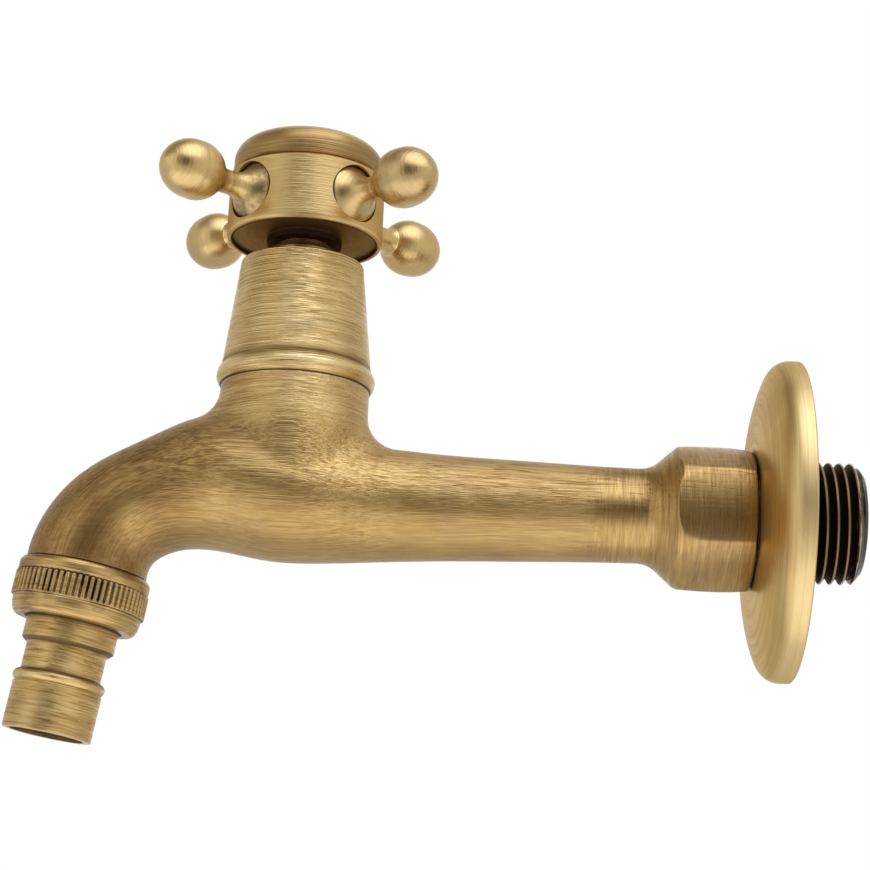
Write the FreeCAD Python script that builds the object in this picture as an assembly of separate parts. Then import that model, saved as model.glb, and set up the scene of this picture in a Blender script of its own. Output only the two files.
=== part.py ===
import FreeCAD, Part
import math
import os

from FreeCAD import Vector

# Wall-mounted water tap with a cross handle and a hose connector.
# Millimetres. The wall is the plane x = 0 and the inlet runs into it along +X, on the axis y = z = 0.
# +Z is up, along the handle's axis, and the tap is symmetric about the plane y = 0.

# Main layout
handle_reach = 86.4  # wall to the handle's axis
mouth_reach = 120.0  # wall to the middle of the spout's mouth
mouth_drop = 13.2  # inlet's axis down to the middle of the spout's mouth
mouth_lean = 8.9  # degrees between the spout's mouth and upright
neck_top = 19.8  # height of the neck's top face over the inlet's axis
bonnet_height = 22.95  # neck's top to the bonnet's top
hub_lift = 4.2  # bonnet's top to the hub's lower rim
arm_rise = 6.15  # hub's lower rim to the arms' axes
spindle_rise = 7.45  # hub's lower rim to the spindle's end

# Inlet thread, G1/2
thread_radius = 10.48
thread_root_radius = 9.3
thread_pitch = 1.814
thread_flank = 27.5  # degrees
thread_crest = 0.28  # width of the flat on each crest
thread_crest_count = 6
thread_lead_out = 1.35
thread_end_chamfer = 0.6
collar_radius = 10.3  # plain part inside the wall plate
relief_length = 0.5
inlet_bore_radius = 5.4
inlet_mouth_radius = 7.2
inlet_mouth_depth = 7.0

# Hexagonal boss that a spanner turns
boss_corner_radius = 12.65
boss_flat_radius = 11.7  # to the middle of each flat, which is slightly rounded
boss_corner_rounding = 3.0
boss_corner_place = 7.0  # from the boss's start to its widest place
boss_length = 13.2
boss_shoulder_radius = 11.9
boss_shoulder_round = 0.32
boss_shoulder_length = 0.7
boss_end_radius = 11.8
boss_end_round = 0.5
boss_cone_angle = 41.5
boss_fillet = 5.0
boss_to_plate = 0.15

# Wall plate
plate_radius = 27.5
plate_thickness = 7.0
plate_rim = 2.4
plate_wall = 1.6
plate_flat_radius = 15.5
plate_edge_radius = 3.6  # rounding between the domed front and the rim's straight band
plate_band = 1.7  # height of the rim's straight band
plate_edge_chamfer = 0.2
plate_inside_slope = 0.2
plate_hub_wall = 2.6
plate_bore_gap = 0.3

# Outer shape of the tube, the chamber and the spout
tube_wall_end_radius = 8.15
tube_waist_radius = 8.22
tube_waist_share = 0.28  # of the tube's length, from the boss
tube_middle_radius = 8.65
tube_middle_share = 0.62
tube_chamber_end_radius = 9.25
tube_chamber_end = 24.4  # from the handle's axis towards the wall
neck_radius = 12.9
neck_fillet = 6.0
spout_mouth_radius = 10.3

# Ovals of the chamber: place from the handle's axis, height, lean, half height and half width
chamber_entry = (14.4, 0.1, 0.0, 9.95, 10.3)
chamber_front = (6.4, 0.35, 0.0, 10.65, 12.3)
chamber_middle = (-1.6, 1.3, 0.0, 11.65, 13.3)
chamber_back = (-12.0, 2.65, 10.0, 11.95, 12.8)

# Ovals of the spout, with place and height taken from the middle of its mouth
spout_start = (12.7, 13.6, 25.0, 10.15, 11.4)
spout_bend = (4.0, 8.6, 50.0, 9.9, 10.6)
spout_end = (1.0, 4.1, 68.0, 10.15, 10.3)

# Water ways inside the body
seat_height = 6.2
seat_port_radius = 4.6
port_floor = 4.6  # depth of the port's floor below the inlet's axis
pocket_radius = 9.5
spout_bore_radius = 7.0
spigot_bore_radius = 6.6

# Ovals of the passage: place from the handle's axis, height over the seat, lean, half height and half width
passage_start = (-7.0, 5.5, 8.0, 4.0, 5.4)
passage_fall = (-15.0, 0.6, 22.0, 5.2, 6.0)
passage_turn = (-22.6, -5.7, 34.0, 6.4, 7.0)
passage_bend = (3.6, 8.4, 56.0)  # place and height from the middle of the mouth, and lean

# Ceramic headwork
head_thread_radius = 10.3
head_thread_height = 8.0
head_barrel_radius = 8.4
head_barrel_bore = 7.5
head_barrel_lift = 0.8  # from the seat to the barrel's lower end
head_thread_lead = 0.8
head_shoulder_drop = 0.5  # from the bonnet's lid down to the gland's shoulder
head_flange_radius = 11.4
head_flange_height = 2.4
head_hex_flats = 17.0
head_hex_height = 6.0
head_upper_radius = 7.2
head_gland_radius = 6.2
head_gland_rise = 1.85  # bonnet's top to the gland's end
head_bore_radius = 4.6
window_width = 8.0
window_height = 3.6
window_drop = 0.4  # from the joint between the discs to the window's lower edge
gasket_thickness = 1.0
seal_thickness = 1.8
seal_inner_radius = 5.0
disc_thickness = 2.2
disc_opening_angle = 80.0
disc_rim_wall = 1.4
disc_hub_radius = 1.3
moving_disc_hub_radius = 2.4
moving_disc_cut_height = 1.0
thrust_washer_thickness = 0.5

# Spindle
spindle_radius = 4.55
spindle_foot_radius = 6.9
spindle_foot_height = 2.2
spindle_drive_width = 3.0
spindle_drive_depth = 1.0
spindle_drive_inset = 0.8  # from the foot's edge to the rib's end
spindle_end_chamfer = 0.4
spline_radius = 3.9
spline_depth = 0.35
spline_count = 20
ring_groove_width = 1.9
ring_section_radius = 0.7
lower_ring_height = 19.0
upper_ring_height = 23.5
clip_radius = 5.6
clip_thickness = 0.8
clip_groove_depth = 1.2
clip_groove_play = 0.1
clip_mouth = 4.0

# Bonnet sleeve over the headwork
bonnet_base_radius = 12.95
bonnet_top_radius = 10.8
bonnet_edge_round = 0.4
bonnet_wall = 1.15
bead_radius = 13.8
bead_height = 3.5
bead_groove_depth = 0.25
bead_groove_width = 0.35
bead_groove_slope = 0.25
bead_step = 0.1
bonnet_inner_gap = 0.35  # to the headwork's flange

# Handle
hub_radius = 13.75
hub_height = 11.9
hub_lip_height = 0.8
hub_lip_step = 0.2
hub_edge_chamfer = 0.35
hub_recess_radius = 12.7
hub_recess_depth = 0.6
hub_boss_radius = 6.6
hub_boss_drop = 0.55
hub_web = 1.1
screw_well_radius = 4.4
cap_socket_radius = 8.0
cap_socket_depth = 2.4
cap_seat_radius = 12.3
cap_seat_height = 0.35

cap_radius = 13.3
cap_height = 6.3
cap_round = 3.9
cap_dome = 0.4
cap_lower_chamfer = 0.25
cap_spigot_wall = 2.6
cap_inside_height = 1.0
cap_spigot_gap = 0.3  # from the spigot's end to the socket's floor

arm_count = 4
arm_first_angle = 45.0
arm_socket_radius = 5.1
arm_socket_floor = 11.0  # distance of the socket's flat floor from the handle's axis
arm_foot_radius = 4.85
arm_foot_length = 1.9
arm_flare_fullness = 1.15  # 1 is a quarter of an ellipse
arm_waist_radius = 2.1
arm_waist_reach = 18.4
arm_crease_radius = 2.65
arm_crease_step = 0.12
arm_crease_reach = 20.5
arm_ball_radius = 5.09
arm_ball_reach = 25.8
arm_ball_inner_swell = (0.42, 0.80)  # shares of the inner half's length and of its growth in radius
arm_ball_outer_swell = (0.575, 0.80)  # shares of the outer half's length and of the ball's radius
arm_tip_radius = 0.25
arm_tip_height = 0.08
arm_reach = 31.9
arm_stud_radius = 2.0
arm_stud_length = 3.6
arm_stud_play = 0.3

handle_screw_radius = 1.95
handle_screw_hole_depth = 9.0
handle_screw_play = 0.8  # from the screw's end to the hole's floor
handle_screw_head_chamfer = 0.4
handle_screw_head_radius = 3.6
handle_screw_head_height = 2.2
handle_screw_slot_width = 0.9
handle_screw_slot_depth = 1.1

# Coupling nut and hose connector, measured down the mouth's axis
spigot_radius = 9.0
spigot_length = 4.2
hose_washer_thickness = 1.5
hose_washer_hole = 6.0
connector_flange_radius = 8.9
connector_flange_thickness = 2.0
connector_length = 28.7  # mouth to the connector's end
connector_collar_radius = 7.83
connector_collar_end = 13.4
connector_neck_radius = 6.8
connector_neck_start = 14.3
connector_neck_end = 18.7
connector_slope_rise = 0.35  # growth in radius from the neck to the bead's foot
connector_bead_radius = 7.82
connector_bead_length = 1.3
connector_bead_foot = 0.5
connector_bead_groove = 0.55  # radius over the neck's at the groove after the bead
connector_bead_to_tail = 0.2
connector_tail_radius = 7.55
connector_tail_length = 7.9
connector_tail_step = 0.1
connector_end_chamfer = 0.15
connector_outlet_radius = 6.25
connector_outlet_depth = 6.5
connector_outlet_cone = 0.8
connector_bore_radius = 5.2

nut_knurl_radius = 11.4
nut_knurl_start = 2.6
nut_knurl_end = 6.6
nut_knurl_count = 66
nut_knurl_depth = 0.28
nut_band_radius = 11.2
nut_band_groove = 0.2
nut_top_round = 1.0
nut_top_round_height = 1.0
nut_shoulder_radius = 10.95
nut_shoulder_height = 2.9
nut_shoulder_step = 0.3
nut_bottom_round = 1.15
nut_shoulder_thickness = 2.0

# Clearances
turning_gap = 0.05  # between faces that turn on each other
thread_gap = 0.05  # between the plain cylinders that stand for screwed threads
swing_gap = 0.15  # between a turning piece's end and the face next to it
ring_gap = 0.03  # between a seal ring and the walls that it wipes
overlap = 1.0  # how far a cutting or joined shape reaches past the face that it starts from

# Sizes that follow from the ones above
thread_depth = thread_radius - thread_root_radius
thread_end = (thread_crest_count - 1) * thread_pitch + thread_crest
thread_end += thread_depth * math.tan(math.radians(thread_flank)) + thread_lead_out
boss_end = -(plate_thickness + boss_to_plate)
boss_start = boss_end - boss_length
neck_x = -handle_reach
mouth_x = -mouth_reach
mouth_z = -mouth_drop
bonnet_top = neck_top + bonnet_height
head_top = bonnet_top + head_gland_rise
hub_bottom = bonnet_top + hub_lift
arm_height = hub_bottom + arm_rise
spindle_top = hub_bottom + spindle_rise
hub_top = hub_bottom + hub_height
cap_bottom = hub_top + cap_seat_height
boss_bottom = hub_bottom - hub_boss_drop
spline_bottom = boss_bottom - turning_gap
ring_middle_radius = head_bore_radius - ring_gap - ring_section_radius
ring_floor_radius = ring_middle_radius - ring_section_radius - ring_gap
web_top = spindle_top + hub_web + turning_gap
flange_bottom = neck_top + gasket_thickness
hex_bottom = flange_bottom + head_flange_height
hex_top = hex_bottom + head_hex_height
bonnet_lid_bottom = bonnet_top - bonnet_wall
gland_shoulder = bonnet_lid_bottom - head_shoulder_drop
fixed_disc_bottom = seat_height + seal_thickness
moving_disc_bottom = fixed_disc_bottom + disc_thickness
moving_disc_top = moving_disc_bottom + disc_thickness
foot_bottom = moving_disc_top
foot_top = foot_bottom + spindle_foot_height
head_step = foot_top + thrust_washer_thickness + turning_gap
washer_start = spigot_length
flange_start = washer_start + hose_washer_thickness
flange_end = flange_start + connector_flange_thickness

oval_point_count = 16

UP = Vector(0, 0, 1)
ORIGIN = Vector(0, 0, 0)


def outline(start, *steps):
    """Closed wire in the XZ plane: a point (r, z) draws a line, a pair draws an arc through its first."""
    here = Vector(start[0], 0, start[1])
    first = here
    edges = []
    for step in steps:
        if isinstance(step[0], tuple):
            middle, end = [Vector(r, 0, z) for r, z in step]
            edges.append(Part.Arc(here, middle, end).toShape())
        else:
            end = Vector(step[0], 0, step[1])
            edges.append(Part.LineSegment(here, end).toShape())
        here = end
    if here.sub(first).Length > 1e-6:
        edges.append(Part.LineSegment(here, first).toShape())
    return Part.Wire(edges)


def turned(start, *steps):
    """Solid of revolution about Z from an outline of (r, z) points."""
    return Part.Face(outline(start, *steps)).revolve(ORIGIN, UP, 360)


def tube_piece(outer, inner, bottom, top):
    """Plain ring about Z."""
    return turned((inner, bottom), (outer, bottom), (outer, top), (inner, top))


def rod(radius, bottom, top):
    """Plain cylinder about Z."""
    return Part.makeCylinder(radius, top - bottom, Vector(0, 0, bottom))


def along_inlet(shape):
    """Turns a shape made about Z so that Z runs along +X, into the wall."""
    moved = shape.copy()
    moved.rotate(ORIGIN, Vector(0, 1, 0), 90)
    return moved


def on_headwork(shape):
    """Moves a shape made about Z to the handle's axis."""
    moved = shape.copy()
    moved.translate(Vector(neck_x, 0, 0))
    return moved


def at_mouth(shape):
    """Moves a shape made about Z, with the mouth at z = 0, onto the spout's mouth."""
    moved = shape.copy()
    moved.rotate(ORIGIN, Vector(0, 1, 0), mouth_lean)
    moved.translate(Vector(mouth_x, 0, mouth_z))
    return moved


def around(shape, count, step=None, first=0.0):
    """Copies of a shape turned about Z."""
    copies = []
    for number in range(count):
        copy = shape.copy()
        copy.rotate(ORIGIN, UP, first + number * (step or 360.0 / count))
        copies.append(copy)
    return copies


def hexagon(flats, bottom, top, first=0.0):
    """Hexagonal prism about Z with its first corner at an angle from +X."""
    corner = flats / math.sqrt(3)
    angles = [math.radians(first + 60 * number) for number in range(7)]
    points = [Vector(corner * math.cos(a), corner * math.sin(a), bottom) for a in angles]
    return Part.Face(Part.makePolygon(points)).extrude(Vector(0, 0, top - bottom))


def soft_hexagon(corner, flat, rounding, bottom, top):
    """Prism about Z with six slightly rounded flats and rounded corners, the first one on +X."""
    half = math.radians(30)
    corner_middle = corner - rounding
    inner = flat - rounding
    offset = (inner ** 2 - corner_middle ** 2) / (2 * (corner_middle * math.cos(half) - inner))
    spread = math.atan2(corner_middle * math.sin(half), offset + corner_middle * math.cos(half))
    edges = []
    for number in range(6):
        corner_angle = number * 2 * half
        angle = corner_angle + half
        before, middle, after = [polar(offset + flat, angle + turn, -offset, angle)
                                 for turn in (-spread, 0, spread)]
        last = polar(offset + flat, corner_angle - half + spread, -offset, corner_angle - half)
        tip = polar(corner, corner_angle)
        edges.append(Part.Arc(last, tip, before).toShape())
        edges.append(Part.Arc(before, middle, after).toShape())
    prism = Part.Face(Part.Wire(edges)).extrude(Vector(0, 0, top - bottom))
    prism.translate(Vector(0, 0, bottom))
    return prism


def polar(radius, angle, shift=0.0, shift_angle=0.0):
    """Point in the XY plane at an angle, from a middle that is itself shifted along another angle."""
    x = radius * math.cos(angle) + shift * math.cos(shift_angle)
    y = radius * math.sin(angle) + shift * math.sin(shift_angle)
    return Vector(x, y, 0)


def oval_points(x, z, lean, half_height, half_width):
    """Points round an oval across the water's way, which leans down from level by some degrees."""
    turn = math.radians(lean)
    high = Vector(-math.sin(turn), 0, math.cos(turn)) * half_height
    wide = Vector(0, half_width, 0)
    angles = [math.tau * number / oval_point_count for number in range(oval_point_count)]
    return [Vector(x, 0, z) + high * math.cos(a) + wide * math.sin(a) for a in angles]


def smooth_way(stations):
    """Solid with a smooth skin through ovals, each given as (x, z, lean, half_height, half_width)."""
    turns = [number / oval_point_count for number in range(oval_point_count + 1)]
    ovals = []
    for station in stations:
        oval = Part.BSplineCurve()
        oval.interpolate(Points=oval_points(*station), PeriodicFlag=True, Parameters=turns)
        ovals.append(oval)
    along = [0.0]
    for last, this in zip(stations, stations[1:]):
        along.append(along[-1] + math.hypot(this[0] - last[0], this[1] - last[1]))
    rails = []
    for poles in zip(*[oval.getPoles() for oval in ovals]):
        rail = Part.BSplineCurve()
        rail.interpolate(Points=list(poles), Parameters=along)
        rails.append(rail)
    oval, rail = ovals[0], rails[0]
    skin = Part.BSplineSurface()
    skin.buildFromPolesMultsKnots([line.getPoles() for line in rails],
                                  oval.getMultiplicities(), rail.getMultiplicities(),
                                  oval.getKnots(), rail.getKnots(), True, False, 3, 3)
    ends = [Part.Face(Part.Wire([skin.vIso(place).toShape()])) for place in (along[0], along[-1])]
    shell = Part.Shell([skin.toShape()] + ends)
    shell.sewShape()
    solid = Part.Solid(shell)
    if solid.Volume < 0:
        solid.reverse()
    return solid


def outer_way():
    """Outside of the tube, the chamber and the spout, as one solid."""
    tube_end = neck_x + tube_chamber_end
    tube_length = boss_start - tube_end
    waist = boss_start - tube_waist_share * tube_length
    middle = boss_start - tube_middle_share * tube_length
    tube = [
        (boss_start, 0.0, 0.0, tube_wall_end_radius, tube_wall_end_radius),
        (waist, 0.0, 0.0, tube_waist_radius, tube_waist_radius),
        (middle, 0.0, 0.0, tube_middle_radius, tube_middle_radius),
        (tube_end, 0.0, 0.0, tube_chamber_end_radius, tube_chamber_end_radius),
    ]
    chamber = [placed(oval, neck_x, 0.0)
               for oval in (chamber_entry, chamber_front, chamber_middle, chamber_back)]
    spout = [placed(oval, mouth_x, mouth_z) for oval in (spout_start, spout_bend, spout_end)]
    spout.append((mouth_x, mouth_z, 90.0 - mouth_lean, spout_mouth_radius, spout_mouth_radius))
    return smooth_way(tube + chamber + spout)


def placed(oval, x, z):
    """An oval's numbers with its place and height moved on."""
    return (oval[0] + x, oval[1] + z, *oval[2:])


def neck_and_way():
    """The neck joined to the water's way with a rounded corner all round."""
    neck = on_headwork(rod(neck_radius, 0, neck_top))
    joined = outer_way().fuse(neck)
    corner = [edge for edge in joined.Edges if on_neck_wall(edge)]
    return joined.makeFillet(neck_fillet, corner)


def spots(edge):
    """Three points along an edge."""
    span = edge.LastParameter - edge.FirstParameter
    return [edge.valueAt(edge.FirstParameter + share * span) for share in (0.2, 0.5, 0.8)]


def on_neck_wall(edge):
    """True for an edge where the neck's wall meets the water's way."""
    near = [abs(math.hypot(spot.x - neck_x, spot.y) - neck_radius) < 0.05 for spot in spots(edge)]
    return all(near) and edge.BoundBox.YLength > 1.0 and edge.BoundBox.ZMax < neck_top - 1.0


def around_tube(edge):
    """True for an edge where the boss's cone meets the tube."""
    near = [abs(math.hypot(spot.y, spot.z) - tube_wall_end_radius) < 0.2 for spot in spots(edge)]
    return all(near) and edge.BoundBox.XLength < 1.0 and edge.BoundBox.XMax < boss_start


def outer_casting():
    """The neck, the water's way and the boss, with rounded corners where they meet."""
    casting = neck_and_way().fuse(boss())
    corner = [edge for edge in casting.Edges if around_tube(edge)]
    return casting.makeFillet(boss_fillet, corner)


def boss():
    """Barrel-shaped hexagon with the cone that joins it to the tube."""
    start = boss_start
    low = tube_wall_end_radius - overlap
    shoulder = boss_shoulder_radius
    cone_start = start - (shoulder - low) / math.tan(math.radians(boss_cone_angle))
    rounded = (shoulder + boss_shoulder_round, start + boss_shoulder_length)
    widest = (boss_corner_radius, start + boss_corner_place)
    barrel = turned(
        (0, cone_start),
        (low, cone_start),
        (shoulder, start),
        ((shoulder + 0.8 * boss_shoulder_round, start + 0.4 * boss_shoulder_length), rounded),
        (widest, (boss_end_radius + boss_end_round, boss_end - boss_end_round)),
        (boss_end_radius, boss_end),
        (0, boss_end),
    )
    prism = soft_hexagon(boss_corner_radius, boss_flat_radius, boss_corner_rounding,
                         cone_start - overlap, boss_end + overlap)
    return along_inlet(barrel.common(prism))


def thread_steps():
    """Outline of the thread from the first crest, at the wall's plane, to the root after the last one."""
    flank = thread_depth * math.tan(math.radians(thread_flank))
    steps = []
    for number in range(thread_crest_count):
        crest = number * thread_pitch
        steps += [
            (thread_root_radius, crest - flank),
            (thread_radius, crest),
            (thread_radius, crest + thread_crest),
            (thread_root_radius, crest + thread_crest + flank),
        ]
    return steps


def shank():
    """Threaded end that screws into the wall fitting, with a plain collar inside the wall plate."""
    turns = thread_steps()
    relief_end = turns[0][1]
    return along_inlet(turned(
        (0, boss_end - overlap),
        (collar_radius, boss_end - overlap),
        (collar_radius, relief_end - relief_length),
        (thread_root_radius, relief_end - relief_length),
        *turns,
        (thread_root_radius, thread_end - thread_end_chamfer),
        (thread_root_radius - thread_end_chamfer, thread_end),
        (0, thread_end),
    ))


def inner_way():
    """Passage from beside the headwork down to the spout's mouth."""
    bore = (spout_bore_radius, spout_bore_radius)
    way = [placed(oval, neck_x, seat_height) for oval in (passage_start, passage_fall, passage_turn)]
    way.append(placed((*passage_bend, *bore), mouth_x, mouth_z))
    way.append((mouth_x, mouth_z, 90.0 - mouth_lean, *bore))
    return smooth_way(way)


def tap_body():
    """Brass casting: threaded inlet, boss, tube, chamber, neck and spout."""
    body = outer_casting().fuse(shank())
    spigot = at_mouth(rod(spigot_radius, -spigot_length, overlap))
    body = body.fuse(spigot)
    bore = along_inlet(rod(inlet_bore_radius, neck_x, thread_end + overlap))
    mouth = along_inlet(rod(inlet_mouth_radius, thread_end - inlet_mouth_depth, thread_end + overlap))
    port = on_headwork(rod(seat_port_radius, -port_floor, seat_height + overlap))
    pocket = on_headwork(rod(pocket_radius, seat_height, neck_top))
    thread_bottom = neck_top - head_thread_height
    head_thread = on_headwork(rod(head_thread_radius + thread_gap, thread_bottom, neck_top + overlap))
    outlet = at_mouth(rod(spigot_bore_radius, -spigot_length - overlap, overlap))
    for cut in (bore, mouth, port, pocket, head_thread, inner_way(), outlet):
        body = body.cut(cut)
    return body


def escutcheon():
    """Round cover plate for the hole in the wall, hollow behind."""
    bore = thread_radius + plate_bore_gap
    hub = bore + plate_hub_wall
    front = -plate_thickness
    inside = plate_radius - plate_rim
    edge = plate_edge_radius
    reach = plate_radius - plate_flat_radius
    fall = plate_thickness - plate_band
    dome = ((reach - edge) ** 2 + fall ** 2 - edge ** 2) / (2 * (fall - edge))
    meeting = math.atan2(reach - edge, dome - fall)
    on_dome = [(plate_flat_radius + dome * math.sin(turn), front + dome * (1 - math.cos(turn)))
               for turn in (meeting / 2, meeting)]
    half_way = (meeting + math.pi / 2) / 2
    on_edge = (plate_radius - edge * (1 - math.sin(half_way)), -plate_band - edge * math.cos(half_way))
    plate = turned(
        (bore, 0),
        (bore, front),
        (plate_flat_radius, front),
        on_dome,
        (on_edge, (plate_radius, -plate_band)),
        (plate_radius, -plate_edge_chamfer),
        (plate_radius - plate_edge_chamfer, 0),
        (inside, 0),
        (inside, -plate_rim),
        (hub + plate_wall, front + plate_wall + plate_inside_slope),
        (hub, front + plate_wall),
        (hub, 0),
    )
    return along_inlet(plate)


def headwork_gasket():
    """Flat ring between the neck's top and the headwork's flange."""
    hole = head_thread_radius + thread_gap
    return on_headwork(tube_piece(head_flange_radius, hole, neck_top, flange_bottom))


def headwork_body():
    """Brass shell of the ceramic headwork, screwed into the neck."""
    barrel_bottom = seat_height + head_barrel_lift
    thread_bottom = neck_top - head_thread_height + overlap
    shell = turned(
        (head_barrel_bore, barrel_bottom),
        (head_barrel_radius, barrel_bottom),
        (head_barrel_radius, thread_bottom),
        (head_thread_radius, thread_bottom + head_thread_lead),
        (head_thread_radius, flange_bottom),
        (head_flange_radius, flange_bottom),
        (head_flange_radius, hex_bottom),
        (head_upper_radius, hex_bottom),
        (head_upper_radius, gland_shoulder),
        (head_gland_radius, gland_shoulder),
        (head_gland_radius, head_top),
        (head_bore_radius, head_top),
        (head_bore_radius, head_step),
        (head_barrel_bore, head_step),
    )
    nut = hexagon(head_hex_flats, hex_bottom, hex_top)
    shell = shell.fuse(nut.cut(rod((head_upper_radius + head_bore_radius) / 2, 0, head_top)))
    window = Part.makeBox(window_width, 2 * head_thread_radius, window_height)
    window.translate(Vector(-window_width / 2, -head_thread_radius, moving_disc_bottom - window_drop))
    window.rotate(ORIGIN, UP, 90)
    return on_headwork(shell.cut(window))


def seat_seal():
    """Rubber ring that presses the fixed disc away from the seat in the body."""
    rim = head_barrel_bore - ring_gap
    return on_headwork(tube_piece(rim, seal_inner_radius, seat_height, fixed_disc_bottom))


def disc_openings(bottom):
    """Two opposite sectors that the water passes through."""
    wedge = Part.makeCylinder(head_barrel_bore - disc_rim_wall, disc_thickness + 2 * overlap,
                              Vector(0, 0, bottom - overlap), UP, disc_opening_angle)
    wedge = wedge.cut(rod(disc_hub_radius, bottom - 2 * overlap, bottom + disc_thickness + 2 * overlap))
    return around(wedge, 2, first=-disc_opening_angle / 2)


def fixed_disc():
    """Ceramic disc that stays with the headwork's body."""
    disc = rod(head_barrel_bore - turning_gap, fixed_disc_bottom, moving_disc_bottom)
    for opening in disc_openings(fixed_disc_bottom):
        disc = disc.cut(opening)
    return on_headwork(disc)


def drive_rib(bottom, top, gap=0.0):
    """Straight rib under the spindle's foot, which fits a slot in the moving disc."""
    length = 2 * (spindle_foot_radius - spindle_drive_inset + gap)
    rib = Part.makeBox(spindle_drive_width + 2 * gap, length, top - bottom)
    rib.translate(Vector(-spindle_drive_width / 2 - gap, -length / 2, bottom))
    return rib


def moving_disc():
    """Ceramic disc that the spindle turns over the fixed one."""
    disc = rod(head_barrel_bore - 2 * turning_gap, moving_disc_bottom, moving_disc_top)
    side = Part.makeCylinder(head_barrel_bore + overlap, moving_disc_cut_height + overlap,
                             Vector(0, 0, moving_disc_bottom - overlap), UP, disc_opening_angle)
    side = side.cut(rod(moving_disc_hub_radius, 0, head_top))
    for cut in around(side, 2, first=90 - disc_opening_angle / 2):
        disc = disc.cut(cut)
    slot_floor = moving_disc_top - spindle_drive_depth - turning_gap
    slot = drive_rib(slot_floor, moving_disc_top + overlap, turning_gap)
    return on_headwork(disc.cut(slot))


def spindle_groove(height, width, floor_radius):
    """Ring-shaped cutter for a groove in the spindle."""
    return tube_piece(spindle_radius + overlap, floor_radius, height - width / 2, height + width / 2)


def spline_notches():
    """Cutters for the spaces between the spindle's splines."""
    width = math.pi * spline_radius / spline_count
    notch = Part.makeBox(2 * spline_depth, width, spindle_top + overlap - spline_bottom)
    notch.translate(Vector(spline_radius - spline_depth, -width / 2, spline_bottom))
    return around(notch, spline_count)


def spindle():
    """Brass stem that the handle turns."""
    clip_height = head_top + turning_gap + clip_thickness / 2
    clip_groove_floor = spindle_radius - clip_groove_depth
    screw_hole_floor = spindle_top - handle_screw_hole_depth
    stem = turned(
        (0, foot_bottom),
        (spindle_foot_radius, foot_bottom),
        (spindle_foot_radius, foot_top),
        (spindle_radius, foot_top),
        (spindle_radius, spline_bottom),
        (spline_radius, spline_bottom),
        (spline_radius, spindle_top - spindle_end_chamfer),
        (spline_radius - spindle_end_chamfer, spindle_top),
        (0, spindle_top),
    )
    stem = stem.fuse(drive_rib(foot_bottom - spindle_drive_depth, foot_bottom + overlap))
    cuts = [spindle_groove(height, ring_groove_width, ring_floor_radius)
            for height in (lower_ring_height, upper_ring_height)]
    cuts.append(spindle_groove(clip_height, clip_thickness + clip_groove_play, clip_groove_floor))
    cuts.append(rod(handle_screw_radius + thread_gap, screw_hole_floor, spindle_top + overlap))
    for cut in cuts + spline_notches():
        stem = stem.cut(cut)
    return on_headwork(stem)


def thrust_washer():
    """Thin ring between the spindle's foot and the step in the headwork's body."""
    return on_headwork(tube_piece(head_barrel_bore - turning_gap, spindle_radius + turning_gap,
                                  foot_top, foot_top + thrust_washer_thickness))


def seal_ring(height):
    """Rubber ring in a groove of the spindle."""
    return on_headwork(Part.makeTorus(ring_middle_radius, ring_section_radius, Vector(0, 0, height)))


def spindle_clip():
    """Open spring ring that stops the spindle from dropping into the headwork."""
    bottom = head_top + turning_gap
    inner = spindle_radius - clip_groove_depth + turning_gap
    ring = tube_piece(clip_radius, inner, bottom, bottom + clip_thickness)
    mouth = Part.makeBox(clip_radius + overlap, clip_mouth, clip_thickness + 2 * overlap)
    mouth.translate(Vector(0, -clip_mouth / 2, bottom - overlap))
    return on_headwork(ring.cut(mouth))


def bonnet():
    """Conical sleeve that hides the headwork, with a turned bead at its foot."""
    bead_top = neck_top + bead_height
    bead_middle = neck_top + bead_height / 2
    groove_radius = bonnet_base_radius - bead_groove_depth
    groove_top = bead_top + bead_groove_width
    inner_base = head_flange_radius + bonnet_inner_gap
    inner_top = bonnet_top_radius - bonnet_wall
    edge = bonnet_edge_round
    arc = edge * (1 - math.sqrt(0.5))
    sleeve = turned(
        (inner_base, neck_top),
        (neck_radius, neck_top),
        ((bead_radius, bead_middle), (bonnet_base_radius + bead_step, bead_top)),
        (groove_radius, bead_top),
        (groove_radius, groove_top),
        (bonnet_base_radius, groove_top + bead_groove_slope),
        (bonnet_top_radius, bonnet_top - edge),
        ((bonnet_top_radius - arc, bonnet_top - arc), (bonnet_top_radius - edge, bonnet_top)),
        (head_gland_radius + thread_gap, bonnet_top),
        (head_gland_radius + thread_gap, bonnet_lid_bottom),
        (inner_top, bonnet_lid_bottom),
        (inner_base, hex_top),
    )
    return on_headwork(sleeve)


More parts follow.
